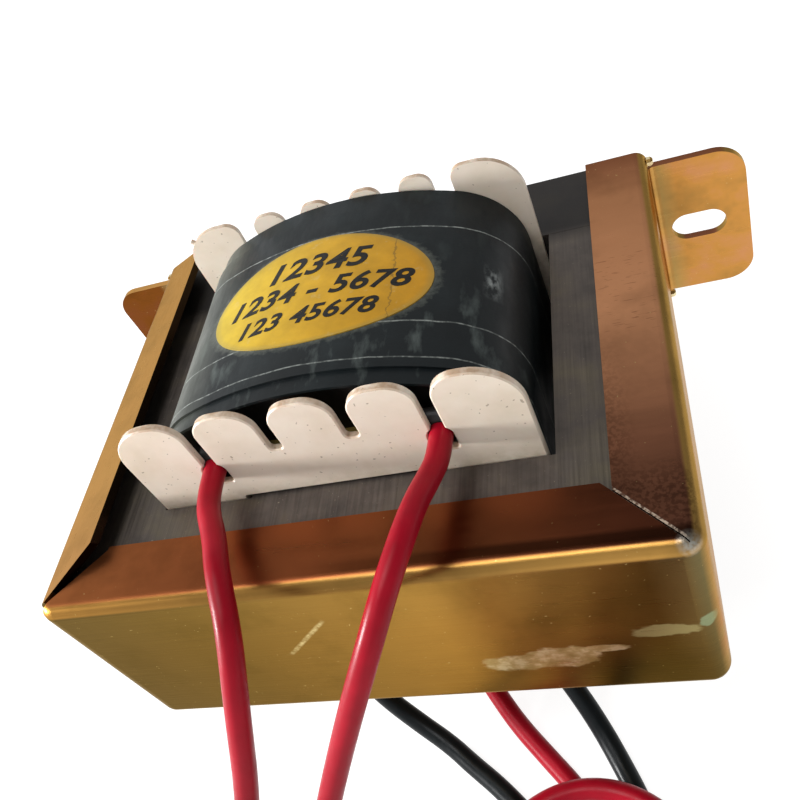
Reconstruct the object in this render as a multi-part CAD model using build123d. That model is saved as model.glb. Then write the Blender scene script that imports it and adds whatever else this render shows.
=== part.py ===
from build123d import *
from math import cos, pi, radians, sin, sqrt, tan
import os

# A small mains transformer in a folded steel frame, lying on its back.
# X runs along the mounting ears, Y along the coil from the near wall to the
# mounting plane, and Z up through the stack of laminations.
# The origin is on the surface it rests on, under the middle of the object.

# Core: E and I sheets, laid one by one from opposite ends
limb = 11.0
centre_limb = 22.0
window_length = 33.0
sheet_thickness = 0.5
sheet_count = 50
seam_gap = 0.05

# Frame: one folded strip of steel sheet
gauge = 1.0
corner_clearance = 0.05
lip_gap = 0.05
lip_bend_radius = 0.5
corner_bend_radius = 1.2
side_lip = 7.3
near_lip = 7.7
lip_far_setback = 0.3
mitre_slit = 0.12
mitre_setback = 0.4
open_mitre_gap = 0.55
open_lip_tilt = 21.0
ear_inner_land = 1.0
ear_outer_land = 2.8
ear_top_margin = 2.2
ear_bottom_margin = 4.0
ear_corner = 3.6
ear_bend_radius = 0.6
ear_notch = 0.8
slot_length = 6.8
slot_width = 4.0
nub_size = 1.1
nub_chamfer = 0.3
nub_reach = 0.7

# Bobbin: one moulding, a tube with a comb on each edge of both flanges
bobbin_wall = 1.0
side_play = 0.4
bore_corner = 0.3
flange_end_gap = 0.15
flange_thickness = 0.8
flange_reach_up = 11.9
flange_reach_down = 12.45
flange_edge_chamfer = 0.15
outer_finger_round = 5.0
near_finger_round = 2.8
far_finger_round = 1.6
near_end_finger = 8.4
near_slot_width = 1.5
near_slot_depth = 6.05
near_slot_corner = 0.5
far_slot_pitch = 6.3
far_slot_width = 2.3
far_slot_depth = 5.5
far_slot_corner = 0.9
keyhole_depth = 8.5
keyhole_drop = 0.75
keyhole_corner = 0.4
keyhole_play = 0.1
middle_seat_depth = 4.6
middle_seat_play = 0.05
gate_stub_diameter = 0.6
gate_stub_reach = 0.5

# Coil
wrap_side_setback = 1.0
wrap_crown_gap = 0.2
wrap_crown_radius = 40.0
wrap_shoulder = 10.0
wrap_thickness = 0.3
near_wrap_gap = 1.2
far_wrap_gap = 0.15
outer_wrap_setback = 3.15
near_margin = 2.5
far_margin = 1.0
primary_build = 3.0
insulation_thickness = 0.25
winding_gap = 0.1

# Label on the crown of the coil
label_length = 25.8
label_width = 16.4
label_thickness = 0.12
label_shift_x = -0.3
label_shift_y = 0.2

# Leads
lead_diameter = 2.4
sleeve_diameter = 2.0
sleeve_length = 7.0
sleeve_gap = 0.1
strand_diameter = 1.2
tip_length = 6.5
strand_end_diameter = 0.9

# Worked-out sizes
lead_radius = lead_diameter / 2
stack = sheet_thickness * sheet_count
frame_gap = corner_bend_radius * (1 - sqrt(0.5)) + corner_clearance
core_width = centre_limb + 4 * limb
core_length = window_length + 2 * limb
frame_width = core_width + 2 * (frame_gap + gauge)
frame_height = stack + 2 * (lip_gap + gauge)
depth = gauge + frame_gap + core_length
near_y = -depth / 2
far_y = depth / 2
core_near_y = near_y + gauge + frame_gap
window_near_y = core_near_y + limb
window_far_y = window_near_y + window_length
flange_top = frame_height / 2 + flange_reach_up
flange_bottom = frame_height / 2 + flange_reach_down
axis_z = flange_bottom
wall_x = frame_width / 2
half_opening = wall_x - side_lip
ear_flat_x = wall_x + ear_bend_radius
ear_tip_x = ear_flat_x + ear_inner_land + slot_length + ear_outer_land
slot_x = ear_flat_x + ear_inner_land + slot_length / 2
ear_height = frame_height - ear_top_margin - ear_bottom_margin
ear_z = axis_z + (ear_bottom_margin - ear_top_margin) / 2

# The bobbin lies against the left side of its window, by most of its play
coil_shift = -0.85 * side_play
tube_half_x = centre_limb / 2 + side_play + bobbin_wall
tube_half_z = stack / 2 + side_play + bobbin_wall
flange_half_width = centre_limb / 2 + limb - side_play
wrap_half_width = flange_half_width - wrap_side_setback
near_flange_y = window_near_y + flange_end_gap
far_flange_y = window_far_y - flange_end_gap
coil_near_y = near_flange_y + flange_thickness
coil_far_y = far_flange_y - flange_thickness

keyhole_half = lead_radius + keyhole_play
keyhole_x = flange_half_width - near_end_finger - near_slot_width / 2
keyhole_z = flange_bottom - keyhole_depth
middle_x = keyhole_x / 3
middle_z = flange_bottom - middle_seat_depth


def block(x_from, x_to, y_from, y_to, z_from, z_to):
    """A box between two corners."""
    size = (x_to - x_from, y_to - y_from, z_to - z_from)
    middle = ((x_from + x_to) / 2, (y_from + y_to) / 2, (z_from + z_to) / 2)
    return Pos(*middle) * Box(*size)


def along_y(face, y_from, y_to):
    """Carry a face drawn in the XZ plane from one Y to another."""
    plane = Plane(origin=(0, y_from, axis_z), x_dir=(1, 0, 0), z_dir=(0, -1, 0))
    return extrude(plane * face, -(y_to - y_from))


# Laminations

def e_sheet():
    """An E seen from above, yoke at the near end, on the plane Z = 0."""
    plate = Rectangle(core_width, limb + window_length, align=(Align.CENTER, Align.MIN))
    window_x = centre_limb / 2 + limb / 2
    for side in (-1, 1):
        plate -= Pos(side * window_x, limb) * Rectangle(
            limb, window_length, align=(Align.CENTER, Align.MIN)
        )
    return extrude(plate, sheet_thickness)


def i_sheet():
    """The I that closes the open end of an E."""
    plate = Pos(0, limb + window_length + seam_gap) * Rectangle(
        core_width, limb - seam_gap, align=(Align.CENTER, Align.MIN)
    )
    return extrude(plate, sheet_thickness)


def interleave(sheet):
    """Lay every second sheet the other way round, the top one yoke first."""
    laid = []
    for layer in range(sheet_count):
        z = axis_z + stack / 2 - (layer + 1) * sheet_thickness
        if layer % 2 == 0:
            laid.append(Pos(0, core_near_y, z) * sheet)
        else:
            laid.append(Pos(0, core_near_y + core_length, z) * Rot(0, 0, 180) * sheet)
    return laid


# Frame

def shell(grow, vertical_radius, edge_radius, far_end):
    """The frame's outer or inner form: a block with its bent edges rounded."""
    half_x = wall_x + grow
    half_z = frame_height / 2 + grow
    body = block(-half_x, half_x, near_y - grow, far_end, axis_z - half_z, axis_z + half_z)
    corners = body.edges().filter_by(Axis.Z).sort_by(Axis.Y)[:2]
    body = fillet(corners, vertical_radius)
    rims = body.faces().sort_by(Axis.Z)
    bends = [
        edge
        for face in (rims[0], rims[-1])
        for edge in face.edges()
        if edge.center().Y < far_end - 0.01
    ]
    return fillet(bends, edge_radius)


def mitre(side, top):
    """A slit beside the diagonal between two lips, and the near lip's corner cut off along it."""
    level = axis_z + top * frame_height / 2
    reach = 2 * max(side_lip, near_lip)
    seam_x = wall_x - sqrt(2) * mitre_setback
    start = Pos(seam_x, near_y, level) * Rot(0, 0, 135) * Pos(reach / 2 + corner_bend_radius, 0, 0)
    slit = start * Box(reach, mitre_slit, 4 * gauge)
    inner_y = near_y + near_lip
    loose = Polyline(
        (half_opening, inner_y + gauge),
        (half_opening, near_y + seam_x - half_opening),
        (seam_x - near_lip - gauge, inner_y + gauge),
        close=True,
    )
    corner = Pos(0, 0, level - 2 * gauge) * extrude(make_face(loose), 4 * gauge)
    cut = slit + corner
    return cut if side > 0 else mirror(cut, Plane.YZ)


def behind_diagonal(gap):
    """Everything behind the left corner's diagonal by more than a gap."""
    room = Box(4 * depth, 2 * depth, 4 * frame_height, align=(Align.CENTER, Align.MIN, Align.CENTER))
    return Pos(-wall_x, near_y, axis_z) * Rot(0, 0, 45) * Pos(0, gap, 0) * room


def open_lip():
    """The left top lip, bent a little short of flat, as a profile carried along Y."""
    bend = radians(90 - open_lip_tilt)
    inside = lip_bend_radius
    outside = lip_bend_radius + gauge
    flat = side_lip - outside
    centre_x = -wall_x + outside
    centre_z = frame_height / 2 - outside
    end = radians(180) - bend
    lean = (sin(end), -cos(end))

    def on_arc(radius, angle):
        return (centre_x + radius * cos(angle), centre_z + radius * sin(angle))

    def beyond(point):
        return (point[0] + flat * lean[0], point[1] + flat * lean[1])

    half = radians(180) - bend / 2
    outer_end = on_arc(outside, end)
    inner_end = on_arc(inside, end)
    wall_low = centre_z - gauge
    outline = [
        Line((-wall_x, wall_low), (-wall_x, centre_z)),
        ThreePointArc((-wall_x, centre_z), on_arc(outside, half), outer_end),
        Line(outer_end, beyond(outer_end)),
        Line(beyond(outer_end), beyond(inner_end)),
        Line(beyond(inner_end), inner_end),
        ThreePointArc(inner_end, on_arc(inside, half), (-wall_x + gauge, centre_z)),
        Line((-wall_x + gauge, centre_z), (-wall_x + gauge, wall_low)),
        Line((-wall_x + gauge, wall_low), (-wall_x, wall_low)),
    ]
    profile = make_face(Wire(outline))
    start = near_y + corner_bend_radius + gauge / 2
    return along_y(profile, start, far_y - lip_far_setback) & behind_diagonal(open_mitre_gap)


def ear(side):
    """A mounting ear bent outward from the far end of a side wall."""
    bend_y = far_y - gauge - ear_bend_radius
    centre_x = ear_flat_x
    low = ear_z - ear_height / 2
    ring = Circle(ear_bend_radius + gauge) - Circle(ear_bend_radius)
    quarter = Rectangle(3 * gauge, 3 * gauge, align=(Align.MAX, Align.MIN))
    bend = Pos(centre_x, bend_y, low) * extrude(ring & quarter, ear_height)
    plate = block(centre_x, ear_tip_x, far_y - gauge, far_y, low, low + ear_height)
    tips = plate.edges().filter_by(Axis.Y).group_by(Axis.X)[-1]
    plate = fillet(tips, ear_corner)
    slot = Pos(slot_x, far_y - gauge / 2, ear_z) * Rot(90, 0, 0) * extrude(
        SlotOverall(slot_length, slot_width), gauge, both=True
    )
    whole = bend + (plate - slot)
    return whole if side > 0 else mirror(whole, Plane.YZ)


def ear_relief(side):
    """The part of the side wall that the ear was bent out of."""
    bend_y = far_y - gauge - ear_bend_radius
    half = ear_height / 2 + ear_notch
    inner, outer = wall_x - 1.5 * gauge, wall_x + gauge
    cut = block(inner, outer, bend_y, far_y + gauge, ear_z - half, ear_z + half)
    return cut if side > 0 else mirror(cut, Plane.YZ)


def nub(side, top):
    """The small torn corner beside each end of an ear's bend."""
    piece = chamfer(Box(nub_size, nub_size, nub_size).edges(), nub_chamfer)
    x = side * (wall_x + nub_reach - nub_size / 2)
    y = far_y - lip_far_setback - nub_size / 2
    z = ear_z + top * (ear_height / 2 + ear_notch)
    return Pos(x, y, z) * piece


def frame_strap():
    """Near wall, two side walls, lips above and below, and two ears."""
    outside = shell(0, corner_bend_radius + gauge, lip_bend_radius + gauge, far_y - lip_far_setback)
    inside = shell(-gauge, corner_bend_radius, lip_bend_radius, far_y + gauge)
    body = outside - inside
    opening_near = near_y + near_lip
    tall = frame_height
    opening = block(-half_opening, half_opening, opening_near, 2 * far_y, axis_z - tall, axis_z + tall)
    body -= opening
    bend_top = axis_z + frame_height / 2 - lip_bend_radius - gauge
    lifted = block(
        -wall_x - gauge, -half_opening + gauge, near_y + near_lip, 2 * far_y, bend_top, axis_z + tall
    )
    corner = block(-wall_x - gauge, -half_opening, near_y - gauge, near_y + near_lip, bend_top, axis_z + tall)
    body -= lifted
    body -= corner & behind_diagonal(0)
    body += open_lip()
    for side in (-1, 1):
        body -= mitre(side, -1)
        body -= ear_relief(side)
        body += ear(side)
        for top in (-1, 1):
            body += nub(side, top)
    body -= mitre(1, 1)
    return body


# Bobbin

def flange_plate():
    """A flange before its combs are cut, reaching less far up than down."""
    middle = (flange_top - flange_bottom) / 2
    return Pos(0, middle) * Rectangle(2 * flange_half_width, flange_top + flange_bottom)


def comb(sketch, centres, width, slot_foot, corner):
    """Cut slots from the top and bottom edges of a flange, to within slot_foot of the axis."""
    beyond = flange_top + flange_bottom
    slot = RectangleRounded(width, beyond - slot_foot, corner)
    for x in centres:
        for way in (-1, 1):
            sketch -= Pos(x, way * (slot_foot + beyond) / 2) * slot
    return sketch


def at_edge(vertex):
    """Whether a corner of the sketch lies on the flange's top or bottom edge."""
    return vertex.Y > flange_top - 0.01 or vertex.Y < 0.01 - flange_bottom


def round_fingers(sketch, end_finger, finger, inner_radius):
    """Round the finger tips, more at the flange's four outer corners, as far as the fingers allow."""
    tips = [v for v in sketch.vertices() if at_edge(v)]
    outer = [v for v in tips if abs(v.X) > flange_half_width - 0.01]
    inner = [v.X for v in tips if abs(v.X) < flange_half_width - 0.01]
    inner_radius = min(inner_radius, 0.45 * finger, 0.4 * end_finger)
    sketch = fillet(outer, min(outer_finger_round, 0.95 * (end_finger - inner_radius)))
    inner = [
        v for v in sketch.vertices() if at_edge(v) and any(abs(v.X - x) < 0.01 for x in inner)
    ]
    return fillet(inner, inner_radius)


def near_flange_outline():
    """Five fingers: keyhole slots seat the outer leads, and round seats below hold the middle ones."""
    face = comb(
        flange_plate(), (-keyhole_x, keyhole_x), near_slot_width, keyhole_z, near_slot_corner
    )
    face = comb(
        face, (-middle_x, middle_x), near_slot_width, flange_top - near_slot_depth, near_slot_corner
    )
    square = Rectangle(2 * keyhole_half, keyhole_half + keyhole_drop, align=(Align.CENTER, Align.MAX))
    keyhole = Circle(keyhole_half) + square
    keyhole = fillet(keyhole.vertices().sort_by(Axis.Y)[:2], keyhole_corner)
    for side in (-1, 1):
        face -= Pos(side * middle_x, -middle_z) * Circle(lead_radius + middle_seat_play)
        face -= Pos(side * keyhole_x, keyhole_z) * keyhole
        face -= Pos(side * keyhole_x, -keyhole_z) * Rot(0, 0, 180) * keyhole
    finger = min(2 * middle_x, keyhole_x - middle_x) - near_slot_width
    return round_fingers(face, near_end_finger, finger, near_finger_round)


def far_flange_outline():
    """Six fingers between five equal slots."""
    centres = [step * far_slot_pitch for step in (-2, -1, 0, 1, 2)]
    end_finger = flange_half_width - centres[-1] - far_slot_width / 2
    finger = far_slot_pitch - far_slot_width
    foot = flange_top - far_slot_depth
    face = comb(flange_plate(), centres, far_slot_width, foot, far_slot_corner)
    return round_fingers(face, end_finger, finger, far_finger_round)


def gate_stub():
    """What is left of the moulding's gate, on the rounded corner of the far flange."""
    across = outer_finger_round * (1 - sqrt(0.5))
    middle_y = (coil_far_y + far_flange_y) / 2
    corner = (across - flange_half_width, middle_y, axis_z + flange_top - across)
    return Pos(*corner) * Rot(0, -45, 0) * Cylinder(gate_stub_diameter / 2, 2 * gate_stub_reach)


def bobbin():
    """A tube round the centre limb between two combed flanges."""
    tube = RectangleRounded(2 * tube_half_x, 2 * tube_half_z, bobbin_wall + bore_corner)
    bore = RectangleRounded(
        2 * (tube_half_x - bobbin_wall), 2 * (tube_half_z - bobbin_wall), bore_corner
    )
    near = along_y(near_flange_outline(), near_flange_y, coil_near_y)
    far = along_y(far_flange_outline(), coil_far_y, far_flange_y)
    near = chamfer(near.faces().sort_by(Axis.Y)[0].edges(), flange_edge_chamfer)
    far = chamfer(far.faces().sort_by(Axis.Y)[-1].edges(), flange_edge_chamfer)
    buried = flange_thickness / 2
    body = near + far + gate_stub() + along_y(tube, coil_near_y - buried, coil_far_y + buried)
    return body - along_y(bore, near_flange_y - 1, far_flange_y + 1)


# Coil

def crowned(inset):
    """The coil's section: two crowns and four shoulders, all arcs, drawn smaller by inset."""
    half_x = wrap_half_width - inset
    top = min(flange_top, flange_bottom) - wrap_crown_gap - inset
    crown = wrap_crown_radius - inset
    shoulder = wrap_shoulder - inset
    shoulder_x = half_x - shoulder
    rise = sqrt((crown - shoulder) ** 2 - shoulder_x**2)
    shoulder_z = top - crown + rise
    lean = shoulder_x / (crown - shoulder)
    upright = rise / (crown - shoulder)
    joint = (crown * lean, top - crown + crown * upright)
    bisector = Vector(1 + lean, upright).normalized()
    mid = (shoulder_x + shoulder * bisector.X, shoulder_z + shoulder * bisector.Y)
    edges = [
        ThreePointArc((-joint[0], joint[1]), (0, top), joint),
        ThreePointArc(joint, mid, (half_x, shoulder_z)),
        Line((half_x, shoulder_z), (half_x, -shoulder_z)),
        ThreePointArc((half_x, -shoulder_z), (mid[0], -mid[1]), (joint[0], -joint[1])),
        ThreePointArc((joint[0], -joint[1]), (0, -top), (-joint[0], -joint[1])),
        ThreePointArc((-joint[0], -joint[1]), (-mid[0], -mid[1]), (-half_x, -shoulder_z)),
        Line((-half_x, -shoulder_z), (-half_x, shoulder_z)),
        ThreePointArc((-half_x, shoulder_z), (-mid[0], mid[1]), (-joint[0], joint[1])),
    ]
    return make_face(Wire(edges))


def wound(build):
    """A wound section: the tube's outline grown by build, corners and all."""
    corner = bobbin_wall + bore_corner + build
    return RectangleRounded(2 * (tube_half_x + build), 2 * (tube_half_z + build), corner)


def ring(outer, inner, y_from, y_to):
    """What lies between two sections, carried along the coil."""
    return along_y(outer, y_from, y_to) - along_y(inner, y_from - 1, y_to + 1)


# Leads

def lead_path(points):
    """Straight runs joined by tangent arcs, each arc as large as its runs allow."""
    radii = []
    for before, here, after in zip(points, points[1:], points[2:]):
        run_in = Vector(*here) - Vector(*before)
        run_out = Vector(*after) - Vector(*here)
        half_turn = radians(run_in.get_angle(run_out)) / 2
        radii.append(0.45 * min(run_in.length, run_out.length) / tan(half_turn))
    return FilletPolyline(*points, radius=radii), radii


def lead(name, points):
    """A round lead along its route."""
    path, radii = lead_path(points)
    start = Plane(origin=points[0], z_dir=Vector(*points[1]) - Vector(*points[0]))
    solid = sweep(start * Circle(lead_radius), path=path)
    share = solid.volume / (pi * lead_radius**2 * path.length)
    print(name, "length", round(path.length, 1), "volume share", round(share, 4))
    print("   radii", [round(r, 1) for r in radii])
    return solid


def tip(points):
    """The stripped and tinned end of a lead, tapering a little."""
    direction = (Vector(*points[-1]) - Vector(*points[-2])).normalized()
    plane = Plane(origin=points[-1], z_dir=direction)
    far = plane.offset(tip_length)
    return loft([plane * Circle(strand_diameter / 2), far * Circle(strand_end_diameter / 2)])


def sleeve(x, z):
    """The sleeve over the joint between a lead and its winding, laid along X towards the middle."""
    y = coil_near_y + sleeve_diameter / 2 + sleeve_gap
    away = lead_radius if x > 0 else -lead_radius
    body = Cylinder(sleeve_diameter / 2, sleeve_length)
    middle = x + away - sleeve_length / 2 * (1 if x > 0 else -1)
    return Pos(middle, y, z) * Rot(0, 90, 0) * body


left_seat_x = coil_shift - keyhole_x
right_seat_x = coil_shift + keyhole_x
middle_seat_x = coil_shift + middle_x
top_seat_z = axis_z + keyhole_z
low_seat_z = axis_z - keyhole_z
middle_seat_z = axis_z - middle_z
floor_z = lead_radius + 0.05

routes = {
    "primary_lead_left": [
        (left_seat_x, coil_near_y, top_seat_z),
        (left_seat_x, -17.8, top_seat_z),
        (-12.1, -20.8, 43.7),
        (-10.2, -24.2, 44.2),
        (-8.4, -28.8, 44.7),
        (-7.0, -33.8, 42.7),
        (-8.2, -38.6, 36.8),
        (-11.2, -43.0, 27.2),
        (-15.2, -48.4, 17.4),
        (-20.2, -55.2, 8.4),
        (-26.0, -64.4, 2.2),
        (-30.6, -76.0, floor_z),
        (-31.6, -90.0, floor_z),
        (-27.8, -106.0, floor_z),
        (-29.6, -122.0, floor_z),
    ],
    "primary_lead_right": [
        (right_seat_x, coil_near_y, top_seat_z),
        (right_seat_x, -17.8, top_seat_z),
        (11.4, -20.6, 43.9),
        (10.7, -23.9, 45.0),
        (10.0, -28.2, 45.7),
        (8.5, -32.5, 44.7),
        (6.0, -36.2, 41.2),
        (2.0, -39.3, 34.8),
        (-2.9, -42.8, 26.4),
        (-7.6, -47.4, 17.8),
        (-12.0, -54.4, 9.0),
        (-15.4, -64.0, 2.4),
        (-16.4, -75.0, floor_z),
        (-11.4, -85.4, floor_z),
        (-0.8, -87.0, floor_z),
        (5.2, -78.2, floor_z),
        (4.0, -66.2, floor_z),
        (2.4, -54.4, 2.2),
        (4.8, -44.0, 4.2),
        (11.2, -37.5, 4.7),
        (17.9, -35.4, 4.7),
        (24.6, -37.5, 4.7),
        (29.8, -43.6, 3.8),
        (31.8, -52.8, 1.8),
        (31.4, -63.6, floor_z),
        (36.0, -75.0, floor_z),
    ],
    "secondary_lead_left": [
        (left_seat_x, coil_near_y, low_seat_z),
        (left_seat_x, -18.6, low_seat_z),
        (-12.2, -21.8, 7.3),
        (-10.6, -25.0, 4.9),
        (-7.4, -27.4, 2.6),
        (-2.6, -29.4, 1.5),
        (1.8, -31.8, floor_z),
        (6.4, -34.5, floor_z),
        (10.8, -38.6, floor_z),
        (13.4, -45.6, floor_z),
        (13.6, -56.0, floor_z),
        (11.8, -70.0, floor_z),
        (12.6, -87.0, floor_z),
        (8.0, -103.0, floor_z),
        (8.8, -119.0, floor_z),
    ],
    "secondary_lead_middle": [
        (middle_seat_x, coil_near_y, middle_seat_z),
        (middle_seat_x, -18.0, middle_seat_z),
        (4.7, -21.0, 4.1),
        (6.6, -24.0, 2.8),
        (9.0, -27.4, 1.6),
        (12.2, -31.0, floor_z),
        (16.0, -35.2, floor_z),
        (19.6, -41.2, floor_z),
        (21.4, -50.4, floor_z),
        (20.6, -63.0, floor_z),
        (22.4, -80.0, floor_z),
        (21.6, -97.0, floor_z),
        (25.6, -113.0, floor_z),
    ],
    "secondary_lead_right": [
        (right_seat_x, coil_near_y, low_seat_z),
        (right_seat_x, -18.6, low_seat_z),
        (12.8, -21.8, 7.3),
        (14.5, -25.0, 4.9),
        (17.0, -28.2, 2.4),
        (19.9, -31.6, floor_z),
        (22.2, -35.8, floor_z),
        (24.8, -42.2, floor_z),
        (26.2, -51.4, floor_z),
        (27.6, -64.0, floor_z),
        (32.6, -80.0, floor_z),
        (33.6, -97.0, floor_z),
        (40.0, -112.0, floor_z),
    ],
}


def build_parts():
    """Every node's solids, by name."""
    e_plate, i_plate = e_sheet(), i_sheet()
    full_span = (coil_near_y + far_wrap_gap, coil_far_y - far_wrap_gap)
    wrap_span = (coil_near_y + near_wrap_gap, coil_far_y - far_wrap_gap)
    wire_span = (coil_near_y + near_margin, coil_far_y - far_margin)
    tape_span = (coil_near_y + outer_wrap_setback, coil_far_y - outer_wrap_setback)
    primary = winding_gap + primary_build
    insulation = primary + insulation_thickness
    under_wrap = 2 * wrap_thickness
    clear_of_tape = tube_half_z + insulation + sleeve_gap + sleeve_diameter / 2
    sleeve_lift = max(0.0, clear_of_tape - keyhole_z)
    label_y = (coil_near_y + coil_far_y) / 2 + label_shift_y
    label_area = Pos(label_shift_x, label_y, axis_z) * extrude(
        Ellipse(label_length / 2, label_width / 2), 2 * flange_top
    )
    label_skin = ring(crowned(-label_thickness), crowned(0), *tape_span)
    nodes = {
        "frame_strap": [frame_strap()],
        "e_laminations": interleave(e_plate),
        "i_laminations": interleave(i_plate),
    }
    coil = {
        "bobbin": [bobbin()],
        "primary_winding": [ring(wound(primary), wound(winding_gap), *wire_span)],
        "winding_insulation": [ring(wound(insulation), wound(primary), *full_span)],
        "secondary_winding": [ring(crowned(under_wrap), wound(insulation), *wire_span)],
        "splice_sleeves": [
            sleeve(-keyhole_x, top_seat_z + sleeve_lift),
            sleeve(keyhole_x, top_seat_z + sleeve_lift),
            sleeve(-keyhole_x, low_seat_z - sleeve_lift),
            sleeve(keyhole_x, low_seat_z - sleeve_lift),
            sleeve(middle_x, middle_seat_z),
        ],
        "inner_wrap": [ring(crowned(wrap_thickness), crowned(under_wrap), *wrap_span)],
        "outer_wrap": [ring(crowned(0), crowned(wrap_thickness), *tape_span)],
        "label": [label_skin & label_area],
    }
    for name, shapes in coil.items():
        nodes[name] = [Pos(coil_shift, 0, 0) * shape for shape in shapes]
    for name, points in routes.items():
        nodes[name] = [lead(name, points)]
        nodes[name.replace("lead", "tip")] = [tip(points)]
    return nodes


os.makedirs("parts", exist_ok=True)
for node, solids in build_parts().items():
    flat = [s for shape in solids for s in shape.solids()]
    shape = flat[0] if len(flat) == 1 else Compound(children=flat)
    export_step(shape, f"parts/{node}.step")
    print(f"{node:24s} {len(flat):3d} solids {sum(s.volume for s in flat):9.1f} mm3")
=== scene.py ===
# %% [markdown]
# # A chassis transformer, dressed
#
# The object is a small mains transformer that lies on its back: a core of thin
# steel sheets, a cream bobbin with combed flanges, a coil wrapped in dark tape,
# and a frame folded from one strip of passivated steel, with two slotted ears.
# The solid model gives every rigid piece its shape. This script gives them
# their finish, makes the soft leads, and sets the camera and the light.
# All sizes are in metres, and most are written as a number of millimetres.

import math

import bpy
import numpy as np
from mathutils import Matrix, Vector


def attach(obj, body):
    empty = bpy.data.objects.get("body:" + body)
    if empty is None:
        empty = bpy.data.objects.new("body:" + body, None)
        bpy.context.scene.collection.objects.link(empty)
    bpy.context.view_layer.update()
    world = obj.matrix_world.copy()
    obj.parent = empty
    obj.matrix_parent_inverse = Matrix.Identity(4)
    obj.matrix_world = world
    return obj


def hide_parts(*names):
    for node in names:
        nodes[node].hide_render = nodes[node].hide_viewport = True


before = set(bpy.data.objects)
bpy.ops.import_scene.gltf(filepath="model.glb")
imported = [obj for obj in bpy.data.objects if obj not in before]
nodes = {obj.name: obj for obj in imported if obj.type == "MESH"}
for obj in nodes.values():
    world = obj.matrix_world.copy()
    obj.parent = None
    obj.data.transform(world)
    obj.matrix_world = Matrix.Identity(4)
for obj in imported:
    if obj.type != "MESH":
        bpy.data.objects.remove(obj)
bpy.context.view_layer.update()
mm = 0.001

# %% [markdown]
# ## The camera
#
# The photograph was taken with a phone held close to the transformer, a hand's
# width away, and rolled to one side. So near a lens draws the near wall much
# larger than the far one. A camera is a place, a point that it looks at, a roll
# and a focal length, and these four are all that the next cell sets.

# %% Camera
camera_place = np.array([35.445, -66.625, 104.171]) * mm
camera_aim = np.array([5.761, -6.761, 40.0]) * mm
camera_roll = math.radians(-28.82)
camera_lens = 38.984


def look(place, aim, roll):
    """Camera axes: forward is the unit vector from place to aim, right is forward crossed
    with the vertical, up is right crossed with forward, and both turn by roll about forward."""
    forward = (aim - place) / np.linalg.norm(aim - place)
    right = np.cross(forward, [0.0, 0.0, 1.0])
    right = right / np.linalg.norm(right)
    up = np.cross(right, forward)
    turned_right = math.cos(roll) * right + math.sin(roll) * up
    turned_up = math.cos(roll) * up - math.sin(roll) * right
    return np.column_stack([turned_right, turned_up, -forward])


camera_data = bpy.data.cameras.new("camera")
camera_data.lens = camera_lens
camera_data.sensor_width = 36.0
camera_data.clip_start = 5 * mm
camera_data.clip_end = 10.0
camera = bpy.data.objects.new("camera", camera_data)
bpy.context.scene.collection.objects.link(camera)
camera_matrix = np.eye(4)
camera_matrix[:3, :3] = look(camera_place, camera_aim, camera_roll)
camera_matrix[:3, 3] = camera_place
camera.matrix_world = Matrix(camera_matrix.tolist())
bpy.context.scene.camera = camera
print("camera distance in mm:", round(float(np.linalg.norm(camera_aim - camera_place)) / mm, 1))

# %% [markdown]
# ## The leads
#
# A lead is a fixed length of soft stranded wire in a plastic skin. It leaves its
# slot straight, bends over the lip of the frame and comes to rest on the table.
# It could be a circle swept along a path by hand, but a NURBS curve with a round
# bevel stays one smooth line with few points, so each lead is written here as the
# points of its route, in mm.

# %% Lead routes
left_seat_x = -12.79
right_seat_x = 12.11
middle_seat_x = 3.81
lead_start_y = -14.8493
top_seat_z = 43.5
low_seat_z = 8.5
middle_seat_z = 4.6
floor_z = 1.25
lead_diameter = 2.4 * mm

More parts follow.
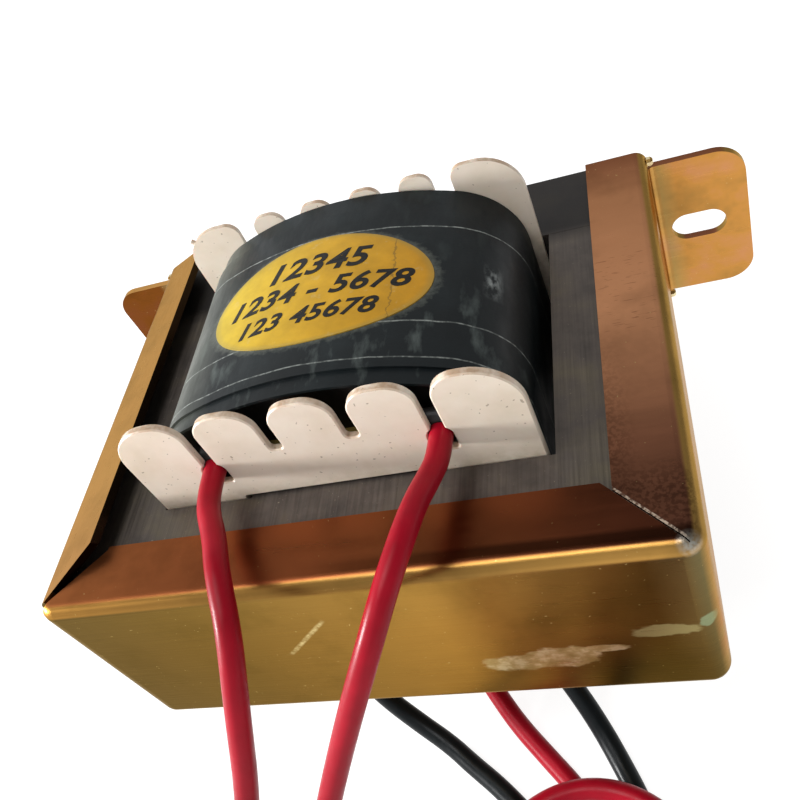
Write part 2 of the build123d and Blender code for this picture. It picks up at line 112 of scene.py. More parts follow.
lead_routes = {
    "primary_lead_left": [
        (left_seat_x, lead_start_y, top_seat_z),
        (left_seat_x, -17.8, top_seat_z),
        (-12.1, -20.8, 43.7),
        (-10.2, -24.2, 44.2),
        (-8.4, -28.8, 44.7),
        (-7.0, -33.8, 42.7),
        (-8.2, -38.6, 36.8),
        (-11.2, -43.0, 27.2),
        (-15.2, -48.4, 17.4),
        (-20.2, -55.2, 8.4),
        (-26.0, -64.4, 2.2),
        (-30.6, -76.0, floor_z),
        (-31.6, -90.0, floor_z),
        (-27.8, -106.0, floor_z),
        (-29.6, -122.0, floor_z),
    ],
    "primary_lead_right": [
        (right_seat_x, lead_start_y, top_seat_z),
        (right_seat_x, -17.8, top_seat_z),
        (11.4, -20.6, 43.9),
        (10.7, -23.9, 45.0),
        (10.0, -28.2, 45.7),
        (8.5, -32.5, 44.7),
        (6.0, -36.2, 41.2),
        (2.0, -39.3, 34.8),
        (-2.9, -42.8, 26.4),
        (-7.6, -47.4, 17.8),
        (-12.0, -54.4, 9.0),
        (-15.4, -64.0, 2.4),
        (-16.4, -75.0, floor_z),
        (-11.4, -85.4, floor_z),
        (-0.8, -87.0, floor_z),
        (5.2, -78.2, floor_z),
        (4.0, -66.2, floor_z),
        (2.4, -54.4, 2.2),
        (4.8, -44.0, 4.2),
        (11.2, -37.5, 4.7),
        (17.9, -35.4, 4.7),
        (24.6, -37.5, 4.7),
        (29.8, -43.6, 3.8),
        (31.8, -52.8, 1.8),
        (31.4, -63.6, floor_z),
        (36.0, -75.0, floor_z),
    ],
    "secondary_lead_left": [
        (left_seat_x, lead_start_y, low_seat_z),
        (left_seat_x, -18.6, low_seat_z),
        (-10.8, -21.6, 7.3),
        (-7.2, -24.6, 4.9),
        (-3.4, -27.0, 2.6),
        (0.4, -29.4, 1.5),
        (3.2, -31.8, floor_z),
        (6.9, -34.7, floor_z),
        (10.8, -38.6, floor_z),
        (13.4, -45.6, floor_z),
        (13.6, -56.0, floor_z),
        (11.8, -70.0, floor_z),
        (12.6, -87.0, floor_z),
        (8.0, -103.0, floor_z),
        (8.8, -119.0, floor_z),
    ],
    "secondary_lead_middle": [
        (middle_seat_x, lead_start_y, middle_seat_z),
        (middle_seat_x, -18.0, middle_seat_z),
        (4.7, -21.0, 4.1),
        (6.6, -24.0, 2.8),
        (9.0, -27.4, 1.6),
        (12.2, -31.0, floor_z),
        (16.0, -35.2, floor_z),
        (19.6, -41.2, floor_z),
        (21.4, -50.4, floor_z),
        (20.6, -63.0, floor_z),
        (22.4, -80.0, floor_z),
        (21.6, -97.0, floor_z),
        (25.6, -113.0, floor_z),
    ],
    "secondary_lead_right": [
        (right_seat_x, lead_start_y, low_seat_z),
        (right_seat_x, -18.6, low_seat_z),
        (14.2, -21.6, 7.3),
        (16.8, -25.0, 4.9),
        (18.8, -28.2, 2.4),
        (20.5, -31.6, floor_z),
        (22.4, -35.8, floor_z),
        (24.8, -42.2, floor_z),
        (26.2, -51.4, floor_z),
        (27.6, -64.0, floor_z),
        (32.6, -80.0, floor_z),
        (33.6, -97.0, floor_z),
        (40.0, -112.0, floor_z),
    ],
}
print("leads:", list(lead_routes))

# %% [markdown]
# The curve's order is 3, so it is made of parabolas that touch the lines between
# the points. It must be set after the points exist, or the curve falls back to
# straight runs. The bevel gives the round skin, and caps close its ends. With the
# bevel off, what is left is the bare line, whose length can be measured. At last
# the curve is turned into a mesh, because the bounds of a NURBS curve come out
# far wider than its skin.

# %% Lead curves


def lead_curve(name, points, radius):
    """One NURBS spline of order 3 with the route's points as its control points."""
    data = bpy.data.curves.new(name, "CURVE")
    data.dimensions = "3D"
    spline = data.splines.new("NURBS")
    spline.points.add(len(points) - 1)
    flat = np.column_stack([np.array(points) * mm, np.ones(len(points))])
    spline.points.foreach_set("co", flat.ravel())
    spline.order_u = 3
    spline.use_endpoint_u = True
    spline.resolution_u = 12
    data.resolution_u = 12
    data.bevel_depth = radius
    data.bevel_resolution = 6
    data.use_fill_caps = True
    piece = bpy.data.objects.new(name, data)
    bpy.context.scene.collection.objects.link(piece)
    return piece


def line_of(piece):
    """The points that the curve passes through, read with its bevel taken off."""
    bevel = piece.data.bevel_depth
    piece.data.bevel_depth = 0.0
    bpy.context.view_layer.update()
    graph = bpy.context.evaluated_depsgraph_get()
    line = bpy.data.meshes.new_from_object(piece.evaluated_get(graph))
    points = np.zeros(3 * len(line.vertices))
    line.vertices.foreach_get("co", points)
    bpy.data.meshes.remove(line)
    piece.data.bevel_depth = bevel
    return points.reshape(-1, 3)


def skin_of(piece, name):
    """The bevelled curve as a mesh of its own. The curve is removed."""
    graph = bpy.context.evaluated_depsgraph_get()
    graph.update()
    data = bpy.data.meshes.new_from_object(piece.evaluated_get(graph))
    bpy.data.objects.remove(piece)
    data.polygons.foreach_set("use_smooth", np.full(len(data.polygons), True))
    skin = bpy.data.objects.new(name, data)
    bpy.context.scene.collection.objects.link(skin)
    return skin


leads = {}
lead_lines = {}
for name, points in lead_routes.items():
    route = lead_curve(name + "_route", points, lead_diameter / 2)
    lead_lines[name] = line_of(route)
    leads[name] = skin_of(route, name + "_skin")
    steps = np.diff(lead_lines[name], axis=0)
    length = float(np.linalg.norm(steps, axis=1).sum())
    leads[name]["length"] = length
    print(name, "length in mm:", round(length / mm, 1))

# %% [markdown]
# ## The stripped ends
#
# Each lead ends bare: the skin is cut off for about 6 mm and the copper strands
# are twisted and tinned. The real wire has more and finer strands, but six wound
# round one are what the eye reads. Each strand is a circle carried along a helix,
# a surface of two parameters: the way along the strand and the way round it.

# %% Stripped ends
outer_strands = 6


def mesh_piece(name, vertices, faces, smooth=True):
    """Put arrays of corners and quads into a mesh, with no loop over the vertices."""
    data = bpy.data.meshes.new(name)
    data.from_pydata(vertices.tolist(), [], faces.tolist())
    data.polygons.foreach_set("use_smooth", np.full(len(data.polygons), smooth))
    data.update()
    piece = bpy.data.objects.new(name, data)
    bpy.context.scene.collection.objects.link(piece)
    return piece


def tube_faces(rings, sides):
    """Quads between each ring of points and the next one."""
    ring, side = np.meshgrid(np.arange(rings - 1), np.arange(sides), indexing="ij")
    a = ring * sides + side
    b = ring * sides + (side + 1) % sides
    return np.stack([a, b, b + sides, a + sides], axis=-1).reshape(-1, 4)


def twisted_strands(start, way, length, strand, turns, sides=8, rings=26):
    """Six strands round one. The centre of outer strand k runs on a helix: its distance from
    the axis is one strand's width, narrowing to 0.8 of it, and its angle is k sixths of a turn
    plus the twist. A circle is carried along it, and each end closes on its centre."""
    way = way / np.linalg.norm(way)
    side_a = np.cross(way, [0.0, 0.0, 1.0])
    side_a /= np.linalg.norm(side_a)
    side_b = np.cross(way, side_a)
    t = np.linspace(0.0, 1.0, rings)
    closing = np.concatenate([[0.0], np.ones(rings - 2), [0.0]])
    around = np.linspace(0.0, 2 * math.pi, sides, endpoint=False)
    all_vertices, all_faces, count = [], [], 0
    for k in range(outer_strands + 1):
        off = strand if k < outer_strands else 0.0
        angle = 2 * math.pi * (k / outer_strands + turns * t)
        reach = off * (1.0 - 0.2 * t)
        centre = np.outer(t * length, way) + start
        centre += (reach * np.cos(angle))[:, None] * side_a
        centre += (reach * np.sin(angle))[:, None] * side_b
        ring = np.cos(around)[:, None] * side_a + np.sin(around)[:, None] * side_b
        points = centre[:, None, :] + (strand / 2 * closing)[:, None, None] * ring[None]
        all_vertices.append(points.reshape(-1, 3))
        all_faces.append(tube_faces(rings, sides) + count)
        count += rings * sides
    return np.concatenate(all_vertices), np.concatenate(all_faces)


tip_length = 6.4 * mm
strand_width = 0.38 * mm
twist_turns = 1.6
lead_tips = {}
for name, line in lead_lines.items():
    onward = line[-1] - line[-4]
    onward[2] = 0.0
    vertices, faces = twisted_strands(line[-1], onward, tip_length, strand_width, twist_turns)
    tip_name = name.replace("lead", "tip")
    lead_tips[name] = mesh_piece(tip_name + "_strands", vertices, faces)
    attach(lead_tips[name], "root")
    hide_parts(tip_name)
print("strands at each end:", outer_strands + 1, "triangles:", 2 * len(faces))

lead_slots = {"secondary_lead_left": "black_wire", "secondary_lead_right": "black_wire"}
for name, piece in leads.items():
    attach(piece, "root")
    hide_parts(name)
print("declared:", len(leads))

# %% [markdown]
# ## Colours and nodes
#
# Colours are written as the eye and a paint chart know them, in sRGB hex, and
# one function turns them to the linear values that the shader works in. One
# more function adds a node, with its settings and its links, to the tree in hand,
# which is the one that was begun last.

# %% Colours and nodes


def colour(hex_code):
    """Linear value of each channel: v / 12.92 below 0.04045, else ((v + 0.055) / 1.055) ** 2.4."""
    v = np.array([int(hex_code[i : i + 2], 16) for i in (1, 3, 5)]) / 255
    linear = np.where(v <= 0.04045, v / 12.92, ((v + 0.055) / 1.055) ** 2.4)
    return (*linear.tolist(), 1.0)


def add(kind, inputs=(), stops=(), **settings):
    """Add a node to the tree in hand. Inputs in a list fill its open sockets in their order,
    and a dict names them. A node is linked by its first open output, a pair of a node and a
    name by that output, and anything else is set. The stops of a colour ramp are pairs of a
    place and a colour, where a plain number stands for a grey."""
    made = tree.nodes.new("ShaderNode" + kind)
    for key, value in settings.items():
        setattr(made, key, value)
    if isinstance(inputs, dict):
        filled = [(made.inputs[name], value) for name, value in inputs.items()]
    else:
        filled = list(zip([socket for socket in made.inputs if socket.enabled], inputs))
    for socket, value in filled:
        if isinstance(value, bpy.types.Node):
            tree.links.new([output for output in value.outputs if output.enabled][0], socket)
        elif isinstance(value, tuple) and isinstance(value[0], bpy.types.Node):
            tree.links.new(value[0].outputs[value[1]], socket)
        else:
            socket.default_value = colour(value) if isinstance(value, str) else value
    for _ in stops[2:]:
        made.color_ramp.elements.new(0.5)
    for number, (where, value) in enumerate(stops):
        element = made.color_ramp.elements[number]
        element.position = where
        element.color = colour(value) if isinstance(value, str) else (value, value, value, 1.0)
    return made


def begin(name):
    """Begin a finish: an empty material, its tree, and the place on the piece that it covers."""
    material = bpy.data.materials.new(name)
    material.use_nodes = True
    material.node_tree.nodes.clear()
    coordinates = material.node_tree.nodes.new("ShaderNodeTexCoord")
    return material, material.node_tree, (coordinates, "Object")


def paint(node_name, material):
    """Give a node of the solid model its finish, in its own material slot."""
    slots = nodes[node_name].data.materials
    if len(slots):
        slots[0] = material
    else:
        slots.append(material)


print("cream in linear values:", np.round(colour("#E6DDCB")[:3], 3).tolist())

# %% [markdown]
# A finish is built up as a painter would: a ground colour, and over it other
# colours, each where its masks let it through. A mask is a value from nought to
# one. It can follow a place on the piece, the way the surface faces, or noise, and
# masks that are multiplied overlap. The next cell has a function for each of the
# patterns that recur, made of two or more nodes.

# %% Patterns
tinted = {"data_type": "RGBA", "blend_type": "MULTIPLY"}


def cloudy(size, detail=3.0, stretch=(1.0, 1.0, 1.0)):
    """Noise whose cells are size mm wide, made longer along an axis by its stretch."""
    scale = [1.0 / (size * mm * longer) for longer in stretch]
    spread = add("Mapping", {"Vector": place, "Scale": scale})
    return add("TexNoise", {"Vector": spread, "Scale": 1.0, "Detail": detail, "Roughness": 0.6})


def along(value, low, high, stops):
    """A ramp of colours over a value that runs from low to high."""
    return add("ValToRGB", [add("MapRange", [value, low, high])], stops)


def band(value, middle, half, soft):
    """One where the value is within half of middle, falling to nought over soft, all in mm."""
    away = add("Math", [add("Math", [value, middle * mm], operation="SUBTRACT")], operation="ABSOLUTE")
    return add("MapRange", [away, half * mm, (half + soft) * mm, 1.0, 0.0])


def oval(middle, halves):
    """The distance from an oval's middle, in which its edge is 1: the length of the place with
    each axis centred and divided by its half, in mm. An axis whose half is nought is left out."""
    scale = np.array([1.0 / (half * mm) if half else 0.0 for half in halves])
    shift = -np.array(middle) * mm * scale
    centred = add("Mapping", {"Vector": place, "Location": shift.tolist(), "Scale": scale.tolist()})
    return add("VectorMath", [centred], operation="LENGTH")


def overlap(first, *others):
    """What all the masks share: their product."""
    for other in others:
        first = add("Math", [first, other], operation="MULTIPLY")
    return first


def lay(below, above, *masks):
    """One colour laid over another where its masks overlap."""
    return add("Mix", [overlap(*masks), below, above], data_type="RGBA")


print("patterns: cloudy, along, band, oval, overlap and lay")

# %% [markdown]
# ## Yellow passivated zinc
#
# The frame is mild steel, zinc plated and dipped in a chromate bath. The bath
# leaves a film far thinner than a hair, and its colour hangs on its thickness.
# The colours laid out by place are partly that film and partly painted
# reflection, lighter or darker as each face mirrors a brighter or darker part of
# the room: olive gold on the near wall, red-brown on the near lip, copper on the
# right lip and orange gold on the ears. Then noise lets the colour drift. It is a
# metal, so its colour tints what it mirrors.
#
# The lips and walls are told apart by where they face. The mitre on the right
# runs where east and north add up to 5.65 mm, and the one on the left where north
# is 6.6 mm more than east.

# %% Passivated steel: where things are
wall_half, wall_bottom, wall_top = 34.4 * mm, 12.5 * mm, 39.5 * mm

passivated, tree, place = begin("yellow_passivated_zinc")
spot = add("SeparateXYZ", [place])
facing = add("SeparateXYZ", [(add("NewGeometry"), "Normal")])
east, north, height = (spot, "X"), (spot, "Y"), (spot, "Z")
lifted = add("MapRange", [(facing, "Z"), 0.72, 0.92])
fronted = add("MapRange", [(facing, "Y"), -0.8, -0.4, 1.0, 0.0])
at_back = add("MapRange", [north, 20 * mm, 24 * mm])
east_and_north = add("Math", [east, north], operation="ADD")
seam = add("Math", [east_and_north, 5.65 * mm], operation="SUBTRACT")
on_right = add("MapRange", [seam, -0.05 * mm, 0.05 * mm])
drift = cloudy(9.0, 4.0)
print("the near wall is", round(2 * wall_half / mm, 1), "mm wide")

# %% Passivated steel: the near wall
# The wall's shades along its width are partly its film and partly painted reflection, lighter and darker
# as the wall mirrors brighter and darker parts of the room.
wall = along(east, -wall_half, wall_half, [
    (0.0, "#54462E"), (0.25, "#6E572E"), (0.45, "#94743C"), (0.62, "#AE8642"),
    (0.78, "#8C6634"), (0.92, "#583C1E"), (0.97, "#6A583A"), (1.0, "#5E6450"),
])
# Painted shade: the wall is darker towards its lower edge.
wall_painted_shade = along(height, wall_bottom, wall_top, [(0.0, "#D8CCC0"), (0.6, "#F0E8E0"), (1.0, "#FFFFFF")])
wall = add("Mix", [1.0, wall, wall_painted_shade], **tinted)
# Painted light low on the wall: a dark red reflection where the red lead lying in front is mirrored, and
# painted shade darkening the lower right.
wall = lay(wall, "#6A2C1C", band(east, 16.5, 2.0, 5.0), band(height, 12.5, 1.0, 3.0), 0.8)
wall = lay(wall, "#33220F", band(east, 27.0, 3.0, 7.0), band(height, 14.0, 4.0, 8.0), 0.85)
print("the near wall: 8 shades, and 2 dark places at its lower edge")

# %% Passivated steel: the lips
# The lips' shades along them are partly film and partly painted reflection: the near lip darkens to the
# right where it mirrors a dim part of the room, and the right lip is brightest in its middle.
near_lip = along(east, -wall_half, 30 * mm, [
    (0.0, "#A06038"), (0.35, "#8C4E2E"), (0.7, "#744024"), (1.0, "#5A3020"),
])
left_lip = along(north, -28 * mm, 28 * mm, [(0.0, "#CC9A74"), (0.3, "#D8A870"), (1.0, "#CC9A5C")])
right_lip = along(north, -27 * mm, 28 * mm, [
    (0.0, "#6C4434"), (0.2, "#8E5E46"), (0.5, "#D6986E"), (0.85, "#B27C58"), (1.0, "#84523C"),
])
lips = lay(near_lip, right_lip, on_right)
on_left = add("MapRange", [east, -27 * mm, -26 * mm, 1.0, 0.0])
north_less_east = add("Math", [north, east], operation="SUBTRACT")
behind_mitre = add("MapRange", [north_less_east, 6.6 * mm, 6.7 * mm])
lips = lay(lips, left_lip, on_left, behind_mitre)
# Painted shade: a dark line on the near lip along the top of its bend, deeper to the right.
deepening = add("MapRange", [east, -4 * mm, 18 * mm, 0.0, 0.7])
lips = lay(lips, "#24120A", band(north, -26.5, 0.5, 0.5), deepening)
print("the lips: near, left and right")

# %% Passivated steel: the ears
ear_film = along(drift, 0.3, 0.7, [(0.0, "#C0904C"), (0.5, "#D0944A"), (1.0, "#D09068")])
# Painted reflection: the left ear is darker, as it mirrors a dimmer part of the room.
ear_side_reflection = along(east, -1 * mm, 1 * mm, [(0.0, "#8C7466"), (1.0, "#FFFFFF")])
ear_film = add("Mix", [1.0, ear_film, ear_side_reflection], **tinted)
from_middle = add("Math", [east], operation="ABSOLUTE")
past_wall = add("Math", [from_middle, wall_half], operation="SUBTRACT")
stretched_root = along(past_wall, 0.0, 3.0 * mm, [(0.0, 0.0), (0.35, 0.5), (1.0, 0.0)])
ear_film = lay(ear_film, "#A8A068", stretched_root)
# The nubs are painted highlights: pale where the ends of the ears' bends bulge at the top and bottom of
# their roots and catch the light.
above_ear = add("Math", [1.0, band(height, 26.9, 10.6, 0.1)], operation="SUBTRACT")
nub_highlight = overlap(above_ear, band(past_wall, 0.9, 0.9, 0.1), at_back)
print("the ears: their film, their roots and the torn nubs")

# %% Passivated steel: the film as a whole
plain = add("ValToRGB", [drift], [
    (0.30, "#8C6C34"), (0.50, "#B08648"), (0.62, "#AE7646"), (0.75, "#98864E"),
])
film = lay(plain, wall, fronted)
film = lay(film, ear_film, fronted, at_back)
film = lay(film, lips, lifted)
film = lay(film, "#F0E2B8", nub_highlight)
# Painted highlight: the bends between the walls and the lips are laid over in a brighter gold, where
# they catch the light.
bend = along((facing, "Z"), 0.15, 1.0, [(0.0, 0.0), (0.2, 1.0), (0.88, 1.0), (0.97, 0.0)])
bend_highlight = along(east, -wall_half, wall_half, [
    (0.0, "#9A7038"), (0.45, "#806030"), (0.7, "#94703A"), (0.95, "#B88C48"), (1.0, "#9A7A44"),
])
film = lay(film, bend_highlight, bend)
mottle = along(drift, 0.3, 0.7, [(0.0, 0.72), (0.5, 0.95), (1.0, 1.0)])
film = add("Mix", [1.0, film, mottle], **tinted)
print("the film: plain, wall, ears, lips, nubs and bends")

# %% [markdown]
# Handling and the press have left marks. On the right lip there are dark speckles
# and short scratches, and bright flecks lie all over. On the near wall there is a
# pale smear, a dent that catches the light, a spot gone green and one bright
# scrape that climbs to the right. The oval patches are torn at their edges by
# adding noise to the distance from their middle.

# %% Passivated steel: speckles, scratches and flecks
speckle = add("MapRange", [cloudy(0.45, 2.0), 0.44, 0.56])
inner_side = add("MapRange", [east, 27.1 * mm, 30.0 * mm, 1.0, 0.0])
low_side = along(north, -26 * mm, -2 * mm, [(0.0, 1.0), (0.5, 0.8), (1.0, 0.0)])
dirty = add("Math", [overlap(inner_side, low_side), band(north, -24.0, 2.5, 3.0)], operation="MAXIMUM")
film = lay(film, "#351C14", dirty, lifted, on_right, speckle, 0.45)
short = add("MapRange", [cloudy(0.16, 1.0, (9.0, 1.0, 1.0)), 0.65, 0.71])
film = lay(film, "#5A3020", short, band(north, 4.0, 5.0, 3.0), lifted, 0.4)
fleck = add("MapRange", [cloudy(0.5, 2.0), 0.72, 0.77])
film = lay(film, "#D8C080", fleck, 0.5)
print("speckles 0.45 mm, scratches 0.16 mm wide, flecks 0.5 mm")

# %% Passivated steel: patches on the near wall
ragged = cloudy(1.3, 5.0, (1.6, 1.0, 1.0))


def patch(middle_x, middle_z, half_x, half_z):
    """A mask on the near wall: an oval of these measures in mm, with a torn edge. The noise is
    about a half, so the edge lies where it and the distance add up to nearly one and a half."""
    distance = oval((middle_x, 0.0, middle_z), (half_x, 0.0, half_z))
    torn_distance = add("Math", [distance, ragged], operation="ADD")
    return overlap(add("MapRange", [torn_distance, 1.35, 1.55, 1.0, 0.0]), fronted)


smear = patch(13.8, 20.6, 3.9, 1.9)
for measures in ((18.4, 21.3, 4.3, 2.4), (22.8, 22.6, 2.6, 0.8)):
    smear = add("Math", [smear, patch(*measures)], operation="MAXIMUM")
smeared = along(cloudy(1.8, 3.0), 0.35, 0.65, [(0.0, "#A08C58"), (0.6, "#BCA674"), (1.0, "#DCCCA0")])
film = lay(film, smeared, smear, 0.8)
# Painted highlight: the dent is lighter where it catches the light.
film = lay(film, "#A8A070", patch(29.2, 25.5, 3.2, 1.3), 0.7)
film = lay(film, "#90A888", patch(33.2, 26.6, 0.9, 1.2), 0.6)
print("patches: a smear of 3 ovals, a dent and a green spot")

# %% Passivated steel: the scrape
scrape_start = np.array([-9.6, 0.0, 26.5])
scrape_way = np.array([1.0, 0.0, 1.0]) * math.sqrt(0.5)
across_way = np.array([-1.0, 0.0, 1.0]) * math.sqrt(0.5)
run = add("VectorMath", [place, scrape_way.tolist()], operation="DOT_PRODUCT")
across = add("VectorMath", [place, across_way.tolist()], operation="DOT_PRODUCT")
scrape_length = band(run, float(scrape_start @ scrape_way) + 4.6, 3.8, 1.2)
scrape_width = band(across, float(scrape_start @ across_way), 0.12, 0.22)
broken = add("MapRange", [cloudy(0.7, 4.0), 0.35, 0.6, 0.1, 1.0])
film = lay(film, "#D8C890", scrape_length, scrape_width, broken, fronted, 0.8)
print("the scrape starts at", scrape_start.tolist(), "mm and climbs at 45 degrees")

# %% [markdown]
# The mitre on the right shows as a bright line with a serrated edge, worn to bare
# metal at its outer corner. Where the strip was cut, its raw edge is dark.

# %% Passivated steel: edges
grain = cloudy(0.35, 4.0)
past_corner = add("MapRange", [east, 26.9 * mm, 27.3 * mm])
serrated = add("MapRange", [cloudy(0.3, 1.0), 0.4, 0.6, 0.1, 1.0])
film = lay(film, "#F0D8C0", band(seam, 0.16, 0.20, 0.10), lifted, past_corner, serrated)
corner = add("VectorMath", [place, (33.0 * mm, -27.4 * mm, 39.2 * mm)], operation="DISTANCE")
bare = along(corner, 0.3 * mm, 1.3 * mm, [(0.0, 0.9), (0.4, 0.4), (1.0, 0.0)])
film = lay(film, "#C4C2B8", bare, add("MapRange", [grain, 0.35, 0.55, 0.3, 1.0]))
behind_wall = add("MapRange", [north, -26.6 * mm, -26.4 * mm])
near_top = add("MapRange", [height, 38.0 * mm, 38.2 * mm])
not_lifted = add("Math", [1.0, lifted], operation="SUBTRACT")
film = lay(film, "#241810", band(east, 0.0, 32.4, 0.1), behind_wall, near_top, not_lifted)
print("edges: the mitre, its corner and the raw edge")

# %% [markdown]
# Rolling leaves fine marks along the strip, which stretch the reflections, and
# the plating is pitted. On the real strip both are finer than a pixel. The marks
# are drawn 0.22 mm wide and the pits at 0.35 mm, as coarse as they need to show.

# %% Passivated steel: relief and shader
rolled = cloudy(0.22, 3.0, (60.0, 8.0, 1.0))
shine = add("MapRange", [rolled, 0.3, 0.75, 0.26, 0.40])
relief = add("Bump", {"Height": rolled, "Strength": 0.10, "Distance": 0.04 * mm})
pits = add("Bump", {"Height": grain, "Strength": 0.12, "Distance": 0.03 * mm, "Normal": relief})
steel = add("BsdfPrincipled", {
    "Base Color": film, "Metallic": 1.0, "Roughness": shine, "Specular Tint": "#F0DCBC", "Normal": pits,
})
add("OutputMaterial", {"Surface": steel})
paint("frame_strap", passivated)
print("finish:", passivated.name)

# %% [markdown]
# ## Silicon steel
#
# The laminations are rolled electrical steel, dull grey from their oxide, with
# the marks of the rolls and the blue-brown bloom of annealing. Dust lies on them,
# and the top of the yoke at the back, behind the coil, is painted nearly black as
# shade. The rolls' marks run along the sheet and are finer than a pixel, so they
# are drawn 0.25 mm wide and 45 times as long.

# %% Silicon steel
silicon, tree, place = begin("silicon_steel")
spot = add("SeparateXYZ", [place])
facing = add("SeparateXYZ", [(add("NewGeometry"), "Normal")])
oxide = add("ValToRGB", [cloudy(7.0, 5.0)], [(0.3, "#4E4845"), (0.5, "#625A54"), (0.7, "#6E6556")])
lines = cloudy(0.25, 3.0, (1.0, 45.0, 1.0))
worn = along(lines, 0.3, 0.7, [(0.0, 0.72), (1.0, 1.0)])
steel = add("Mix", [1.0, oxide, worn], **tinted)
steel = lay(steel, "#A89C88", add("MapRange", [cloudy(0.3, 2.0), 0.71, 0.78, 0.0, 0.5]))
# Painted shade: the tops of the sheets behind the coil are nearly black.
back_yoke_shade = add("MapRange", [(spot, "Y"), 15 * mm, 18 * mm, 0.0, 0.8])
steel = lay(steel, "#121214", back_yoke_shade, add("MapRange", [(facing, "Z"), 0.4, 0.8]))
shine = add("MapRange", [lines, 0.3, 0.7, 0.36, 0.52])
relief = add("Bump", {"Height": lines, "Strength": 0.16, "Distance": 0.04 * mm})
oxidised = add("BsdfPrincipled", {
    "Base Color": steel, "Metallic": 0.75, "Roughness": shine, "Normal": relief,
})
add("OutputMaterial", {"Surface": oxidised})
paint("e_laminations", silicon)
paint("i_laminations", silicon)
print("finish:", silicon.name)

# %% [markdown]
# ## Moulded nylon
#
# The bobbin is nylon from a mould, a warm cream that lets a little light in, so
# some of its light scatters under the skin. Its thin rims have yellowed to brown,
# the flange is darker and greyer low down, and there are a few small dark specks.

# %% Moulded nylon
nylon, tree, place = begin("moulded_nylon")
spot = add("SeparateXYZ", [place])
facing = add("SeparateXYZ", [(add("NewGeometry"), "Normal")])
cloud = cloudy(8.0, 4.0)
body = along(cloud, 0.3, 0.7, [(0.0, "#D2C4B0"), (0.5, "#DDD0BF"), (1.0, "#E4D9CA")])
body = lay(body, "#8A7A66", add("MapRange", [cloudy(0.5, 1.0), 0.735, 0.76, 0.0, 0.7]))
patchy = add("MapRange", [cloudy(1.5, 3.0), 0.35, 0.6, 0.25, 0.9])
body = lay(body, "#A5876A", add("MapRange", [(facing, "Z"), 0.2, 0.8]), patchy)
# Darker and greyer low on the flange.
body = lay(body, "#B0A088", add("MapRange", [(spot, "Z"), 38.5 * mm, 41.0 * mm, 0.7, 0.0]), patchy)
moulded = add("BsdfPrincipled", {
    "Base Color": body,
    "Roughness": 0.42,
    "Subsurface Weight": 0.08,
    "Subsurface Scale": 0.6 * mm,
    "Normal": add("Bump", {"Height": cloud, "Strength": 0.1, "Distance": 0.1 * mm}),
})
add("OutputMaterial", {"Surface": moulded})
paint("bobbin", nylon)
print("finish:", nylon.name)

# %% [markdown]
# ## The coil
#
# Enamelled copper shows only in the slots of the flanges, and its ends are drawn
# nearly black. Its turns are a wave texture, whose bands are a tenth of pi apart
# in the texture's own measure. The film between the windings is polyester, amber
# and glossy, and the sleeves over the joints are soft and nearly black. Both are
# hardly seen, so two close shades and a roughness are enough for them.

# %% Enamelled copper, film and sleeves
turn_pitch = 0.5712 * mm
copper, tree, place = begin("enamelled_copper")
facing = add("SeparateXYZ", [(add("NewGeometry"), "Normal")])
turns = add(
    "TexWave", {"Vector": place, "Scale": math.pi / 10 / turn_pitch, "Distortion": 0.2},
    bands_direction="Y",
)
wire = along(turns, 0.0, 1.0, [(0.0, "#3A160A"), (1.0, "#8A4020")])
end_face = add("Math", [(facing, "Y")], operation="ABSOLUTE")
wire = lay(wire, "#0E0B0A", add("MapRange", [end_face, 0.5, 0.8]))
enamelled = add("BsdfPrincipled", {
    "Base Color": wire,
    "Metallic": 0.3,
    "Roughness": 0.4,
    "Normal": add("Bump", {"Height": turns, "Strength": 0.5, "Distance": 0.1 * mm}),
})
add("OutputMaterial", {"Surface": enamelled})
paint("primary_winding", copper)
paint("secondary_winding", copper)

for name, node_name, size, dark, light, roughness in (
    ("polyester_film", "winding_insulation", 5.0, "#6A5626", "#86703A", 0.3),
    ("soft_sleeving", "splice_sleeves", 2.0, "#141414", "#24201E", 0.5),
):
    hidden, tree, place = begin(name)
    shades = along(cloudy(size), 0.3, 0.7, [(0.0, dark), (1.0, light)])
    surface = add("BsdfPrincipled", {"Base Color": shades, "Roughness": roughness})
    add("OutputMaterial", {"Surface": surface})
    paint(node_name, hidden)
print("turns of wire:", round(turn_pitch / mm, 2), "mm apart")

# %% [markdown]
# The tape over the coil is a coated cloth, nearly black, with a chalky bloom where
# hands have rubbed it, above all round the label, where glue has held dust. Its left
# shoulder is lighter with a painted sheen, where the window's light grazes it. Pale
# broken lines show where one turn ends on another. The cloth's weave would hardly
# show, so its bump is drawn a little coarser, at 0.3 mm.

# %% Coated cloth tape: ground and bloom
label_middle, label_halves = (-0.64, 0.9, 0.0), (12.9, 8.2, 0.0)

tape, tree, place = begin("coated_cloth_tape")
spot = add("SeparateXYZ", [place])
cloud = cloudy(10.0, 5.0)
chalk = cloudy(2.2, 6.0, (1.0, 3.0, 3.0))
body = along(cloud, 0.3, 0.7, [(0.0, "#0C1012"), (0.6, "#12181A"), (1.0, "#1B2224")])
rubbed = add("MapRange", [chalk, 0.56, 0.84, 0.0, 0.5])
low_half = along((spot, "Y"), -12 * mm, 2 * mm, [(0.0, 0.8), (0.5, 1.0), (1.0, 0.25)])
body = lay(body, "#7E8884", rubbed, low_half)
